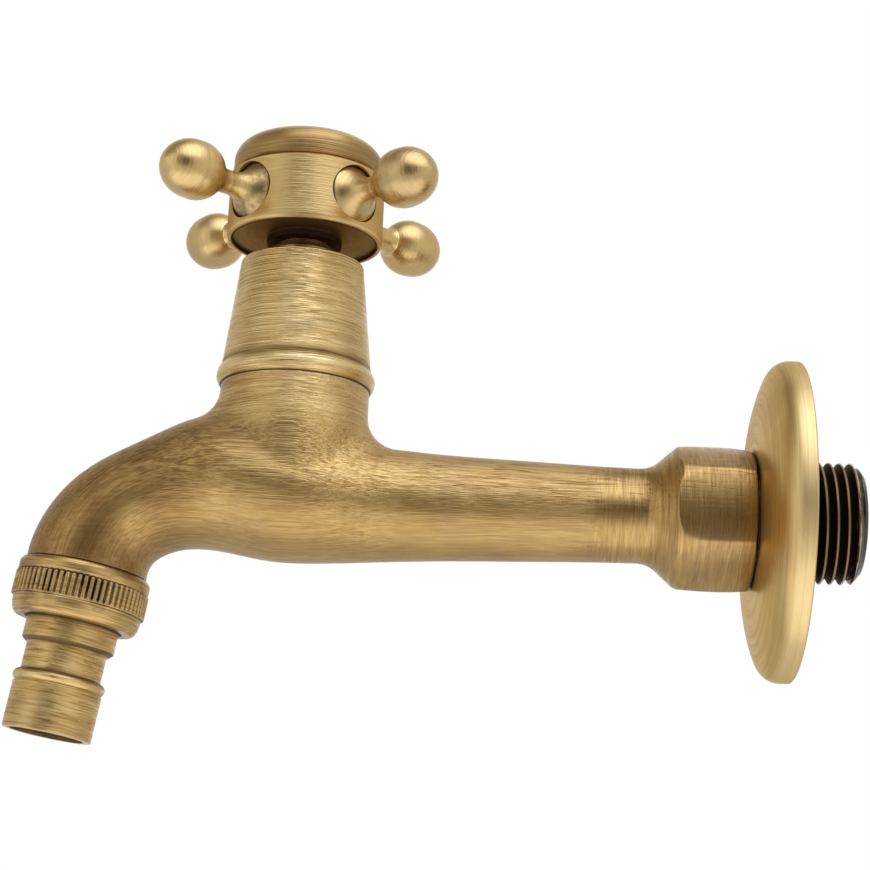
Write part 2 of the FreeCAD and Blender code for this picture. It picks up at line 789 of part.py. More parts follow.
def handle_hub():
    """Hub of the cross handle, with a splined socket, four arm sockets and a seat for the cap."""
    socket = spline_radius + turning_gap
    lip_radius = hub_radius - hub_lip_step
    recess = hub_bottom + hub_recess_depth
    shell = turned(
        (socket, boss_bottom),
        (hub_boss_radius, boss_bottom),
        (hub_boss_radius, recess),
        (hub_recess_radius, recess),
        (hub_recess_radius, hub_bottom),
        (lip_radius, hub_bottom),
        (hub_radius, hub_bottom + hub_lip_height),
        (hub_radius, hub_top - hub_edge_chamfer),
        (hub_radius - hub_edge_chamfer, hub_top),
        (cap_seat_radius, hub_top),
        (cap_seat_radius, cap_bottom),
        (cap_socket_radius, cap_bottom),
        (cap_socket_radius, hub_top - cap_socket_depth),
        (screw_well_radius, hub_top - cap_socket_depth),
        (screw_well_radius, web_top),
        (handle_screw_radius + swing_gap, web_top),
        (handle_screw_radius + swing_gap, spindle_top + turning_gap),
        (socket, spindle_top + turning_gap),
    )
    outward = Vector(1, 0, 0)
    foot_floor = Vector(arm_socket_floor, 0, arm_height)
    arm_hole = Part.makeCylinder(arm_socket_radius, hub_radius, foot_floor, outward)
    stud_floor = Vector(arm_socket_floor - arm_stud_length - arm_stud_play, 0, arm_height)
    stud_hole = Part.makeCylinder(arm_stud_radius + thread_gap, hub_radius, stud_floor, outward)
    for hole in (arm_hole, stud_hole):
        for cut in around(hole, arm_count, first=arm_first_angle):
            shell = shell.cut(cut)
    return on_headwork(shell)


def hub_cap():
    """Rounded cap that closes the hub and hides the handle's screw."""
    top = cap_bottom + cap_height
    side = top - cap_round - cap_dome
    corner = cap_round * (1 - math.sqrt(0.5))
    flat = cap_radius - cap_round
    dome_radius = (flat ** 2 + cap_dome ** 2) / (2 * cap_dome)
    half_turn = math.asin(flat / dome_radius) / 2
    dome_middle = (dome_radius * math.sin(half_turn), top - dome_radius * (1 - math.cos(half_turn)))
    spigot = cap_socket_radius - thread_gap
    spigot_inner = spigot - cap_spigot_wall
    spigot_bottom = hub_top - cap_socket_depth + cap_spigot_gap
    inside = cap_bottom + cap_inside_height
    cap = turned(
        (0, inside),
        (spigot_inner, inside),
        (spigot_inner, spigot_bottom),
        (spigot, spigot_bottom),
        (spigot, cap_bottom),
        (cap_radius - cap_lower_chamfer, cap_bottom),
        (cap_radius, cap_bottom + cap_lower_chamfer),
        (cap_radius, side),
        ((cap_radius - corner, top - cap_dome - corner), (flat, top - cap_dome)),
        (dome_middle, (0, top)),
    )
    return on_headwork(cap)


def handle_screw():
    """Slotted screw that holds the hub down on the spindle."""
    end = spindle_top - handle_screw_hole_depth + handle_screw_play
    head = web_top + handle_screw_head_height
    chamfer = handle_screw_head_chamfer
    screw = turned(
        (0, end),
        (handle_screw_radius, end),
        (handle_screw_radius, web_top),
        (handle_screw_head_radius, web_top),
        (handle_screw_head_radius, head - chamfer),
        (handle_screw_head_radius - chamfer, head),
        (0, head),
    )
    half_slot = handle_screw_head_radius + overlap
    slot = Part.makeBox(2 * half_slot, handle_screw_slot_width, handle_screw_slot_depth + overlap)
    slot.translate(Vector(-half_slot, -handle_screw_slot_width / 2, head - handle_screw_slot_depth))
    return on_headwork(screw.cut(slot))


def arm():
    """One arm of the cross: stud, trumpet foot, waist and egg-shaped knob, made along Z from the axis."""
    foot_start = arm_socket_floor
    foot_end = foot_start + arm_foot_length
    stud_end = foot_start - arm_stud_length
    half_way = 1 - math.sqrt(0.5)
    flare_radius = arm_waist_radius + (arm_foot_radius - arm_waist_radius) * half_way
    flare_reach = foot_end + (arm_waist_reach - foot_end) * half_way * arm_flare_fullness
    neck_flare_radius = arm_waist_radius + arm_crease_step
    neck_flare_reach = (arm_waist_reach + arm_crease_reach) / 2 + 2 * arm_crease_step
    inner_share, inner_growth = arm_ball_inner_swell
    inner_radius = arm_crease_radius + (arm_ball_radius - arm_crease_radius) * inner_growth
    inner_reach = arm_crease_reach + (arm_ball_reach - arm_crease_reach) * inner_share
    outer_share, outer_size = arm_ball_outer_swell
    outer_radius = arm_ball_radius * outer_size
    outer_reach = arm_ball_reach + (arm_reach - arm_ball_reach) * outer_share
    piece = turned(
        (0, stud_end),
        (arm_stud_radius, stud_end),
        (arm_stud_radius, foot_start),
        (arm_foot_radius, foot_start),
        (arm_foot_radius, foot_end),
        ((flare_radius, flare_reach), (arm_waist_radius, arm_waist_reach)),
        ((neck_flare_radius, neck_flare_reach), (arm_crease_radius - arm_crease_step, arm_crease_reach)),
        (arm_crease_radius, arm_crease_reach),
        ((inner_radius, inner_reach), (arm_ball_radius, arm_ball_reach)),
        ((outer_radius, outer_reach), (arm_tip_radius, arm_reach - arm_tip_height)),
        (0, arm_reach),
    )
    piece.rotate(ORIGIN, Vector(0, 1, 0), 90)
    piece.translate(Vector(0, 0, arm_height))
    return piece


def arms():
    """The four arms in place, by name, the front ones on the -Y side."""
    names = ["arm_rear_right", "arm_rear_left", "arm_front_left", "arm_front_right"]
    copies = around(arm(), arm_count, first=arm_first_angle)
    return {name: on_headwork(copy) for name, copy in zip(names, copies)}


def coupling_nut():
    """Knurled nut that clamps the hose connector to the spout's spigot."""
    bore = spigot_radius + thread_gap
    collar_hole = connector_collar_radius + turning_gap
    shoulder_top = flange_end + turning_gap
    bottom = shoulder_top + nut_shoulder_thickness
    rounding_start = bottom - nut_shoulder_height + nut_shoulder_step
    half_way = 1 - math.sqrt(0.5)
    top_round = (nut_band_radius - nut_top_round * half_way, -swing_gap - nut_top_round_height * half_way)
    bottom_round = (nut_shoulder_radius - nut_bottom_round * half_way,
                    -bottom + (bottom - rounding_start) * half_way)
    nut = turned(
        (bore, -swing_gap),
        (nut_band_radius - nut_top_round, -swing_gap),
        (top_round, (nut_band_radius, -swing_gap - nut_top_round_height)),
        (nut_band_radius, -nut_knurl_start + nut_band_groove),
        (nut_band_radius - nut_band_groove, -nut_knurl_start),
        (nut_knurl_radius, -nut_knurl_start),
        (nut_knurl_radius, -nut_knurl_end),
        (nut_shoulder_radius, -nut_knurl_end),
        (nut_shoulder_radius, -rounding_start),
        (bottom_round, (nut_shoulder_radius - nut_bottom_round, -bottom)),
        (collar_hole, -bottom),
        (collar_hole, -shoulder_top),
        (bore, -shoulder_top),
    )
    width = math.pi * nut_knurl_radius / nut_knurl_count
    height = nut_knurl_end - nut_knurl_start
    floor = nut_knurl_radius - nut_knurl_depth
    rim = nut_knurl_radius + overlap
    corners = [Vector(floor, 0, 0), Vector(rim, width * (rim - floor) / (2 * nut_knurl_depth), 0)]
    corners += [Vector(rim, -corners[1].y, 0), corners[0]]
    notch = Part.Face(Part.makePolygon(corners)).extrude(Vector(0, 0, height))
    notch.translate(Vector(0, 0, -nut_knurl_end))
    for cut in around(notch, nut_knurl_count):
        nut = nut.cut(cut)
    return at_mouth(nut)


def hose_washer():
    """Flat rubber washer between the spigot's end and the connector's flange."""
    return at_mouth(tube_piece(connector_flange_radius, hose_washer_hole, -flange_start, -washer_start))


def hose_connector():
    """Tail piece that a hose is pushed over."""
    end = connector_length
    tail_start = end - connector_tail_length
    bead_end = tail_start - connector_bead_to_tail
    bead_start = bead_end - connector_bead_length
    bead_middle = (bead_start + bead_end) / 2
    step = end - connector_outlet_depth
    tail = turned(
        (connector_bore_radius, -flange_start),
        (connector_flange_radius, -flange_start),
        (connector_flange_radius, -flange_end),
        (connector_collar_radius, -flange_end),
        (connector_collar_radius, -connector_collar_end),
        (connector_neck_radius, -connector_neck_start),
        (connector_neck_radius, -connector_neck_end),
        (connector_neck_radius + connector_slope_rise, -bead_start + connector_bead_foot),
        ((connector_bead_radius, -bead_middle), (connector_neck_radius + connector_bead_groove, -bead_end)),
        (connector_tail_radius - connector_tail_step, -tail_start),
        (connector_tail_radius, -tail_start - connector_tail_step),
        (connector_tail_radius, -end + connector_end_chamfer),
        (connector_tail_radius - connector_end_chamfer, -end),
        (connector_outlet_radius, -end),
        (connector_outlet_radius, -step),
        (connector_bore_radius, -step + connector_outlet_cone),
    )
    return at_mouth(tail)


def pieces():
    """Every piece of the tap, by name."""
    made = {
        "tap_body": tap_body(),
        "escutcheon": escutcheon(),
        "headwork_gasket": headwork_gasket(),
        "headwork_body": headwork_body(),
        "seat_seal": seat_seal(),
        "fixed_disc": fixed_disc(),
        "moving_disc": moving_disc(),
        "thrust_washer": thrust_washer(),
        "spindle": spindle(),
        "lower_seal_ring": seal_ring(lower_ring_height),
        "upper_seal_ring": seal_ring(upper_ring_height),
        "spindle_clip": spindle_clip(),
        "bonnet": bonnet(),
        "handle_hub": handle_hub(),
        "hub_cap": hub_cap(),
        "handle_screw": handle_screw(),
        "coupling_nut": coupling_nut(),
        "hose_washer": hose_washer(),
        "hose_connector": hose_connector(),
    }
    made.update(arms())
    return made


os.makedirs("parts", exist_ok=True)
for name, shape in pieces().items():
    shape.exportStep(f"parts/{name}.step")
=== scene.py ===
import math

import bmesh
import bpy
from mathutils import Matrix, Vector


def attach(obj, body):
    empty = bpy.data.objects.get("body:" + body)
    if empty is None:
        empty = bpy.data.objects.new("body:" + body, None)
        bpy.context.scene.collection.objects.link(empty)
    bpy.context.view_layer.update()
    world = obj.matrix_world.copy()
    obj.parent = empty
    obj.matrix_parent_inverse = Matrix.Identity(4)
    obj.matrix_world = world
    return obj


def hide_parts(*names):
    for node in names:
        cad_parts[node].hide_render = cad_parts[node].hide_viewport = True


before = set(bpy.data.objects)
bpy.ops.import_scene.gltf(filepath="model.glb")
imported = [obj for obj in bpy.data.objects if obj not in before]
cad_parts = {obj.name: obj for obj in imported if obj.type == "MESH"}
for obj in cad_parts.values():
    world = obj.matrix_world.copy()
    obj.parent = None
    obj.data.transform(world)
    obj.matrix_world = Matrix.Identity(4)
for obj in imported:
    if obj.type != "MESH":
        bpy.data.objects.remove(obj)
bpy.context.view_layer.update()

# Places on the tap, in millimetres from the wall plate's back face on the inlet's axis
HANDLE_X = -86.4
MOUTH_X = -120.0
MOUTH_Z = -13.2
MOUTH_LEAN = 8.9  # degrees between the spout's mouth and upright
BEND_X = -103.4  # middle of the spout's bend
BEND_Z = -15.8
ARM_Z = 53.1
NECK_TOP = 19.8
HUB_BOTTOM = 46.4
HUB_TOP = 59.2
CAP_TOP = 65.5
BEAD_CREST = 22.1
BEAD_TOP = 23.3
BONNET_TOP = 42.75
BOSS_CUT_X = -21.0
BOSS_END = -7.15
INLET_END = 11.31

# Radii, in millimetres
INLET_BORE = 5.4
INLET_RECESS = 7.2  # the wider end of the inlet's bore
THREAD_CREST = 10.48
PLATE_RADIUS = 27.5
HUB_RECESS = 12.7
KNURL_RIDGE = 11.4

# Heights on the coupling nut, from the spout's mouth along its axis
KNURL_TOP = -2.6
KNURL_BOTTOM = -6.95
NUT_BOTTOM = -9.75

# Aged brass, from the polished edges to the dark of the hollows, which is partly patina and partly painted
# shade
POLISHED = (0.80, 0.61, 0.29)
BRASS = (0.56, 0.375, 0.135)
BROWN = (0.30, 0.17, 0.06)
UMBER = (0.15, 0.08, 0.03)
ROSE = (0.38, 0.24, 0.14)
# patina, which also serves as painted shade in hollows and under parts
PATINA_AND_SHADE = (0.095, 0.052, 0.026)
# near-black, painted as shade into gaps, bores, grooves and the hollow under the hub
SHADE_BLACK = (0.022, 0.013, 0.008)

# The inlet's thread, on its crests, whose pale colour is partly a painted highlight, and on its bare end
CREST = (0.85, 0.76, 0.60)
BARE_END = (0.10, 0.085, 0.065)


class Signal:
    """One output of a node. Arithmetic on signals adds Math nodes to their tree."""

    def __init__(self, nodes, socket):
        self.nodes = nodes
        self.socket = socket

    def maths(self, operation, *values):
        return self.nodes.node("ShaderNodeMath", {"operation": operation}, dict(enumerate(values)))

    def __add__(self, other):
        return self.maths("ADD", self, other)

    def __sub__(self, other):
        return self.maths("SUBTRACT", self, other)

    def __rsub__(self, other):
        return self.maths("SUBTRACT", other, self)

    def __mul__(self, other):
        return self.maths("MULTIPLY", self, other)

    def __truediv__(self, other):
        return self.maths("DIVIDE", self, other)

    def __pow__(self, other):
        return self.maths("POWER", self, other)

    def __abs__(self):
        return self.maths("ABSOLUTE", self)

    __radd__ = __add__
    __rmul__ = __mul__

    def least(self, other):
        return self.maths("MINIMUM", self, other)

    def most(self, other):
        return self.maths("MAXIMUM", self, other)

    def fraction(self):
        return self.maths("FRACT", self)

    def sine(self):
        return self.maths("SINE", self)

    def cosine(self):
        return self.maths("COSINE", self)

    def rise(self, start, end):
        """0 below start and 1 above end, or the other way round where start is the larger."""
        sockets = {"Value": self, "From Min": start, "From Max": end, "To Min": 0.0, "To Max": 1.0}
        return self.nodes.node("ShaderNodeMapRange", {"interpolation_type": "SMOOTHSTEP"}, sockets)

    def band(self, low, high, soft):
        """1 between low and high, falling to 0 over a soft width on both sides."""
        return self.rise(low - soft, low + soft) * self.rise(high + soft, high - soft)


class Nodes:
    """The nodes of a material, of the world or of a shape."""

    def __init__(self, tree):
        self.tree = tree
        self.tree.nodes.clear()

    def node(self, kind, settings=(), sockets=(), output=0):
        """Adds a node; its settings are set first, and then the values or links of its sockets."""
        node = self.tree.nodes.new(kind)
        for name, value in dict(settings).items():
            if name == "stops":
                self.stops(node.color_ramp, value)
            else:
                setattr(node, name, value)
        for key, value in dict(sockets).items():
            if isinstance(value, Signal):
                self.tree.links.new(value.socket, node.inputs[key])
            elif isinstance(value, list) and isinstance(value[0], Signal):
                for signal in value:
                    self.tree.links.new(signal.socket, node.inputs[key])
            else:
                node.inputs[key].default_value = value
        return node if output is None else Signal(self, node.outputs[output])

    def stops(self, ramp, stops):
        """Fills a colour ramp from (place, colour) pairs."""
        for number, (place, colour) in enumerate(stops):
            stop = ramp.elements[number] if number < 2 else ramp.elements.new(place)
            stop.position = place
            stop.color = (*colour, 1.0)

    def split(self, vector):
        """The three numbers of a vector."""
        node = self.node("ShaderNodeSeparateXYZ", {}, {0: vector}, output=None)
        return [Signal(self, out) for out in node.outputs]

    def joined(self, x, y, z):
        """A vector from three numbers."""
        return self.node("ShaderNodeCombineXYZ", {}, {0: x, 1: y, 2: z})

    def blend(self, amount, first, second):
        """Mixes two numbers."""
        return self.node("ShaderNodeMix", {"data_type": "FLOAT"}, {0: amount, 2: first, 3: second})


class Finish(Nodes):
    """The nodes of one material."""

    def __init__(self, name):
        self.material = bpy.data.materials.new(name)
        self.material.use_nodes = True
        super().__init__(self.material.node_tree)
        self.normal = None
        place = self.node("ShaderNodeTexCoord", output="Object")
        self.x, self.y, self.z = [part * 1000 for part in self.split(place)]

    def ramp(self, amount, *stops):
        return self.node("ShaderNodeValToRGB", {"stops": stops}, {0: amount})

    def noise(self, x, y, z, w=0.0, detail=2.0, roughness=0.5):
        """Noise from 0 to 1 over coordinates that already hold the pattern's scale."""
        vector = self.joined(x, y, z)
        sockets = {"Vector": vector, "W": w, "Scale": 1.0, "Detail": detail, "Roughness": roughness}
        return self.node("ShaderNodeTexNoise", {"noise_dimensions": "4D"}, sockets)

    def cloud(self, size, seed, detail=3.0):
        """Soft patches of a size in millimetres."""
        return self.noise(self.x / size, self.y / size, self.z / size, seed, detail)

    def tint(self, amount, first, second):
        """Mixes two colours."""
        colours = [value if isinstance(value, Signal) else (*value, 1.0) for value in (first, second)]
        settings = {"data_type": "RGBA"}
        return self.node("ShaderNodeMix", settings, {0: amount, 6: colours[0], 7: colours[1]}, output=2)

    def bump(self, height, depth_mm):
        """Raises the surface by a height from 0 to 1 times a depth."""
        sockets = {"Height": height, "Distance": depth_mm / 1000, "Strength": 1.0}
        if self.normal:
            sockets["Normal"] = self.normal
        self.normal = self.node("ShaderNodeBump", {}, sockets)

    def done(self, colour, roughness, metallic=1.0, **constants):
        """Connects the shader and returns the material."""
        sockets = {"Base Color": colour, "Roughness": roughness, "Metallic": metallic}
        if not isinstance(colour, Signal):
            sockets["Base Color"] = (*colour, 1.0)
        if self.normal:
            sockets["Normal"] = self.normal
        sockets.update({name.replace("_", " "): value for name, value in constants.items()})
        shader = self.node("ShaderNodeBsdfPrincipled", {}, sockets)
        self.node("ShaderNodeOutputMaterial", {}, {"Surface": shader}, output=None)
        return self.material


class Lathe:
    """Coordinates round an axis in the tap's middle plane: along it, away from it and round it."""

    reach = 0.25  # how much finer or coarser the lines are on faces across the axis

    def __init__(self, finish, x, z, lean):
        turn = math.radians(lean)
        dx, dz = finish.x - x, finish.z - z
        self.finish = finish
        self.along = dx * math.sin(turn) + dz * math.cos(turn)
        self.set_round(dx * math.cos(turn) - dz * math.sin(turn), finish.y)

    def set_round(self, side, front):
        self.radius = (side * side + front * front + 0.0001) ** 0.5
        self.cosine = side / self.radius
        self.sine = front / self.radius

    def lines(self, width, length, detail=2.0, sway=0.0):
        """Turning lines of a width in millimetres that run a number of radians round, from 0 to 1."""
        share = 1.0 / length
        across = 1.0 / width
        noise = self.finish.noise(self.cosine * share, self.sine * share, (self.along + sway) * across,
                                  self.radius * across * self.reach, detail)
        return noise.rise(0.28, 0.72)

    def scores(self, width, length, thin=0.05):
        """Thin wavy lines, 1 on the line."""
        share = 1.0 / length
        across = 1.0 / width
        noise = self.finish.noise(self.cosine * share, self.sine * share, self.along * across,
                                  self.radius * across * self.reach, 1.0)
        return abs(noise - 0.5).rise(thin, 0.0)


class ArmLathe(Lathe):
    """The same coordinates round each of the four arms, which lie at 45 degrees to the tap."""

    def __init__(self, finish):
        self.finish = finish
        dx, dy = abs(finish.x - HANDLE_X), abs(finish.y)
        self.along = (dx + dy) * math.sqrt(0.5)
        self.set_round((dx - dy) * math.sqrt(0.5), finish.z - ARM_Z)


def aged(finish, streaks, brightening, dark, rough=0.36, contrast=1.0, lift=0.0, edge=(1.0, 1.0, 1.0)):
    """Aged brass from fine streaks, lighter places and darker places, each from 0 to 1. The lighter places
    are wear and painted highlights; the darker places are patina and painted shade.
    """
    cloud = finish.cloud(9.0, 0.0)
    spots = finish.cloud(1.6, 3.0, 2.0)
    tone = 0.5 + lift + (streaks - 0.5) * (contrast * 0.6) + (cloud - 0.5) * 0.3 + (spots - 0.5) * 0.06
    colour = finish.ramp(tone + brightening * 0.5, (0.0, UMBER), (0.25, BROWN), (0.55, BRASS), (1.0, POLISHED))
    rosy = finish.cloud(13.0, 7.0).rise(0.5, 0.72)
    colour = finish.tint(rosy * 0.3, colour, ROSE)
    # darker places go to patina and, where darkest, to near-black; both carry painted shade as well as patina
    if isinstance(dark, Signal):
        colour = finish.tint(dark.least(0.8), colour, PATINA_AND_SHADE)
        colour = finish.tint(dark.rise(0.75, 1.0), colour, SHADE_BLACK)
    roughness = rough + (0.5 - streaks) * 0.1 - brightening * 0.05 + dark * 0.2 + (cloud - 0.5) * 0.08
    return finish.done(colour, roughness, Specular_Tint=(*edge, 1.0))


def cast_brass():
    """The body: brushed along the tube, round the neck and the boss, and in short strokes on the spout."""
    finish = Finish("brushed_cast_brass")
    x, y, z = finish.x, finish.y, finish.z
    sway = (finish.cloud(16.0, 1.0, 1.0) - 0.5) * 1.6

    def along_tube(length, lines_per_mm, seed, detail=2.0):
        return finish.noise(x / length, y * lines_per_mm, (z + sway) * lines_per_mm, seed, detail)

    fine = along_tube(14, 6.5, 0.0).rise(0.3, 0.7)
    broad = along_tube(30, 1.7, 5.0).rise(0.3, 0.7)
    scores = abs(along_tube(26, 1.1, 9.0, 1.0) - 0.5).rise(0.03, 0.0)
    before_bend = (x - BEND_X).least(0.0)
    above_bend = z - BEND_Z
    round_bend = (before_bend * before_bend + above_bend * above_bend) ** 0.5
    strokes_per_mm = 4.5
    across_stroke = (round_bend + sway * 0.5) * strokes_per_mm
    short = finish.noise((x + z) / 8, y * strokes_per_mm, across_stroke, 13.0).rise(0.3, 0.7)
    neck = Lathe(finish, HANDLE_X, 0.0, 0.0)
    inlet = Lathe(finish, 0.0, 0.0, 90.0)
    on_chamber = x.rise(-62.0, -70.0)
    on_spout = (x - z.rise(-2.0, 8.0) * 8.0).rise(-97.0, -107.0)
    on_neck = z.rise(9.0, 14.0)
    upper_half = z.rise(-5.0, 3.0)
    fine = finish.blend(on_chamber, fine, short)
    fine = finish.blend(on_neck, fine, neck.lines(0.22, 0.4))
    broad = finish.blend(on_neck, broad, neck.lines(0.8, 0.9))
    ragged = x + (broad - 0.5) * 5 + (fine - 0.5) * 2
    on_boss = ragged.rise(-35.5, -32.5)
    fine = finish.blend(on_boss, fine, inlet.lines(0.22, 0.4))
    broad = finish.blend(on_boss, broad, inlet.lines(0.8, 1.0))
    streaks = fine * 0.6 + broad * 0.4 - scores * upper_half * (0.5 * (1.0 - on_chamber))
    calm = finish.blend(upper_half.most(on_boss), 0.5, 1.0)
    depth = finish.blend(on_boss, 0.055, 0.03)
    depth = finish.blend(on_neck, depth, 0.13)
    finish.bump((fine * 0.6 + broad * 0.4 - scores * upper_half * 0.3) * depth * calm, 1.0)
    edge = abs(neck.along - NECK_TOP).rise(0.5, 0.1)
    # a painted highlight on the spout just above the nut, added to the wear
    painted_highlight_spot = x.band(-115.0, -110.0, 3.0) * z.band(-7.0, -1.0, 3.0)
    # painted shade on the fillet where the neck runs into the chamber
    fillet_shade = x.band(-98.0, -84.0, 4.0) * z.band(5.0, 11.0, 3.0)
    # a painted shadow line where the boss meets the wall plate
    shadow_at_plate = x.band(BOSS_END - 0.45, BOSS_END + 0.15, 0.3)
    dark = shadow_at_plate * 0.9 + fillet_shade * 0.22
    rough = finish.blend(on_boss, 0.37, 0.31)
    # painted shade: the lower half outside the boss is made a little darker
    shade_underneath = (1.0 - upper_half) * (1.0 - on_boss)
    lift = on_neck * 0.18 - on_spout * 0.16 - shade_underneath * 0.04 - on_boss * 0.08
    contrast = calm * finish.blend(on_boss, 0.85, 0.5)
    return aged(finish, streaks, edge * 0.3 + painted_highlight_spot * 0.5, dark, rough, contrast, lift)


def thread_brass():
    """The inlet's thread: painted shade between bright crests and in the bore, and a bare ragged end."""
    finish = Finish("cut_thread_brass")
    inlet = Lathe(finish, 0.0, 0.0, 90.0)
    streaks = inlet.lines(0.25, 0.4)
    ragged = finish.x + (streaks - 0.5) * 1.2 + (finish.cloud(2.0, 2.0) - 0.5) * 2
    end = ragged.rise(9.7, 10.2)
    # painted shade: the flanks below the crests and the inlet's bore are near-black
    flank = inlet.radius.rise(THREAD_CREST - 0.06, THREAD_CREST - 0.28) * (1.0 - end)
    inside = inlet.radius.rise(INLET_RECESS + 0.3, INLET_RECESS + 0.1)
    shade = finish.tint(streaks * 0.6, CREST, POLISHED)
    shade = finish.tint(end, shade, BARE_END)
    shade = finish.tint(flank.most(inside), shade, SHADE_BLACK)
    return finish.done(shade, 0.3 + flank * 0.3)


def turned_streaks(lathe, width, length, depth, sway=0.0):
    """Turning lines in two widths with thin scores, which also bump the surface."""
    fine = lathe.lines(width, length, 2.0, sway)
    broad = lathe.lines(width * 3.5, length * 1.6, 2.0, sway)
    lathe.finish.bump(fine * 0.65 + broad * 0.35, depth)
    return fine * 0.65 + broad * 0.35 - lathe.scores(width * 6, length * 1.3, 0.04) * 0.25


def bonnet_brass():
    """The bonnet: coarse wavy turning lines, a bright upper edge, a bead crest lightened partly as wear and
    partly as a painted highlight, and painted shade over the bead and at the joint below it.
    """
    finish = Finish("turned_bonnet_brass")
    lathe = Lathe(finish, HANDLE_X, 0.0, 0.0)
    sway = (finish.cloud(7.0, 2.0, 1.0) - 0.5) * 0.6
    streaks = turned_streaks(lathe, 0.21, 0.9, 0.15, sway)
    upper_edge = lathe.along.band(BONNET_TOP - 0.5, BONNET_TOP, 0.12)
    # the bead's crest is lightened, partly as wear and partly as a painted highlight
    crest_wear_and_highlight = lathe.along.band(BEAD_CREST - 0.5, BEAD_CREST + 0.5, 0.4)
    # painted shade over the bead, and a painted shade line at the joint with the body
    shade_over_bead = lathe.along.band(BEAD_TOP + 0.1, BEAD_TOP + 1.1, 0.5)
    shade_at_joint = lathe.along.rise(NECK_TOP + 0.35, NECK_TOP + 0.15)
    dark = shade_over_bead * 0.5 + shade_at_joint * 0.9
    return aged(finish, streaks, (upper_edge + crest_wear_and_highlight) * 0.7, dark, rough=0.26, lift=0.27)


def hub_brass():
    """The hub: fine lines, worn rims, and painted shade in the hollow underneath."""
    finish = Finish("turned_hub_brass")
    lathe = Lathe(finish, HANDLE_X, 0.0, 0.0)
    streaks = turned_streaks(lathe, 0.12, 0.35, 0.03)
    upper_rim = lathe.along.band(HUB_TOP - 0.75, HUB_TOP - 0.35, 0.1)
    lower_rim = lathe.along.band(HUB_BOTTOM + 0.75, HUB_BOTTOM + 1.05, 0.1)
    brightening = (upper_rim + lower_rim) * 0.7
    # painted shade in the hollow under the hub
    recess = lathe.radius.rise(HUB_RECESS + 0.5, HUB_RECESS + 0.2)
    shade_underneath = lathe.along.rise(HUB_BOTTOM + 1.55, HUB_BOTTOM + 0.95) * recess * 0.92
    return aged(finish, streaks, brightening, shade_underneath, rough=0.34, contrast=0.4, lift=0.22, edge=(0.64, 0.44, 0.34))


def cap_brass():
    """The cap: fine lines round its middle, a top painted lighter as a highlight and a lower side painted
    darker as shade.
    """
    finish = Finish("turned_cap_brass")
    lathe = Lathe(finish, HANDLE_X, 0.0, 0.0)
    streaks = turned_streaks(lathe, 0.2, 1.2, 0.04)
    # painted highlight on the top and painted shade down the lower side
    top = lathe.along.rise(CAP_TOP - 2.7, CAP_TOP - 1.0) * 1.3
    side = lathe.along.rise(CAP_TOP - 3.0, CAP_TOP - 4.5) * 0.22
    return aged(finish, streaks, top, side, rough=0.3, contrast=0.4, lift=-0.08)


def plate_brass():
    """The wall plate: brushed round, with a polished rim."""
    finish = Finish("brushed_plate_brass")
    lathe = Lathe(finish, 0.0, 0.0, 90.0)
    lathe.reach = 1.0
    streaks = turned_streaks(lathe, 0.16, 0.9, 0.008)
    rim = lathe.radius.rise(PLATE_RADIUS - 0.9, PLATE_RADIUS - 0.1)
    # painted shade round the boss, where it meets the plate
    dark = lathe.radius.rise(12.6, 11.6) * 0.48
    rough = finish.blend(rim, 0.34, 0.45)
    return aged(finish, streaks, rim * 0.6, dark, rough, contrast=0.5, lift=0.15, edge=(0.85, 0.75, 0.58))


def nut_brass():
    """The coupling nut: fine lines on the bands, painted shade in the knurl's grooves and its bore, a painted
    highlight on its lower shoulder, and a patch of old patina.
    """
    finish = Finish("turned_nut_brass")
    lathe = Lathe(finish, MOUTH_X, MOUTH_Z, MOUTH_LEAN)
    streaks = turned_streaks(lathe, 0.22, 0.8, 0.05)
    knurl = lathe.along.band(KNURL_BOTTOM + 0.05, KNURL_TOP, 0.1)
    patch = finish.cloud(6.0, 4.0).rise(0.52, 0.62)
    # painted shade in the knurl's grooves, deeper where the patina patch lies
    grooves = knurl * lathe.radius.rise(KNURL_RIDGE - 0.02, KNURL_RIDGE - 0.24) * (patch * 0.3 + 0.68)
    ridges = knurl * lathe.radius.rise(KNURL_RIDGE - 0.1, KNURL_RIDGE)
    # painted shade inside the nut
    inside = lathe.radius.rise(8.6, 8.2)
    # a painted highlight band on the lower shoulder
    shoulder = lathe.along.band(NUT_BOTTOM + 0.35, NUT_BOTTOM + 2.35, 0.3)
    dark = grooves.most(patch * 0.3).most(inside)
    return aged(finish, streaks, ridges * 0.35 + shoulder * 0.25, dark, rough=0.34)


def tail_brass():
    """The hose connector: fine lines, painted shade in its grooves, under the nut and in its outlet, and
    edges lightened partly as a painted highlight.
    """
    finish = Finish("turned_tail_brass")
    lathe = Lathe(finish, MOUTH_X, MOUTH_Z, MOUTH_LEAN)
    streaks = turned_streaks(lathe, 0.2, 0.8, 0.05)
    along = lathe.along
    # painted shade in the grooves and under the nut
    under_step = along.band(-14.1, -13.4, 0.12)
    shade_over_bead = along.band(-19.2, -18.6, 0.12)
    under_nut = along.rise(-10.6, -9.8)
    # painted shade in the outlet
    outlet = lathe.radius.rise(6.5, 6.1)
    dark = ((under_step + shade_over_bead + under_nut) * 0.75).most(outlet)
    # the bead and the lip are lightened, partly as wear and partly as a painted highlight
    bead = along.band(-20.6, -19.6, 0.3)
    lip = along.rise(-28.2, -28.6)
    return aged(finish, streaks, bead * 0.4 + lip * 0.5, dark, rough=0.36, lift=0.1)


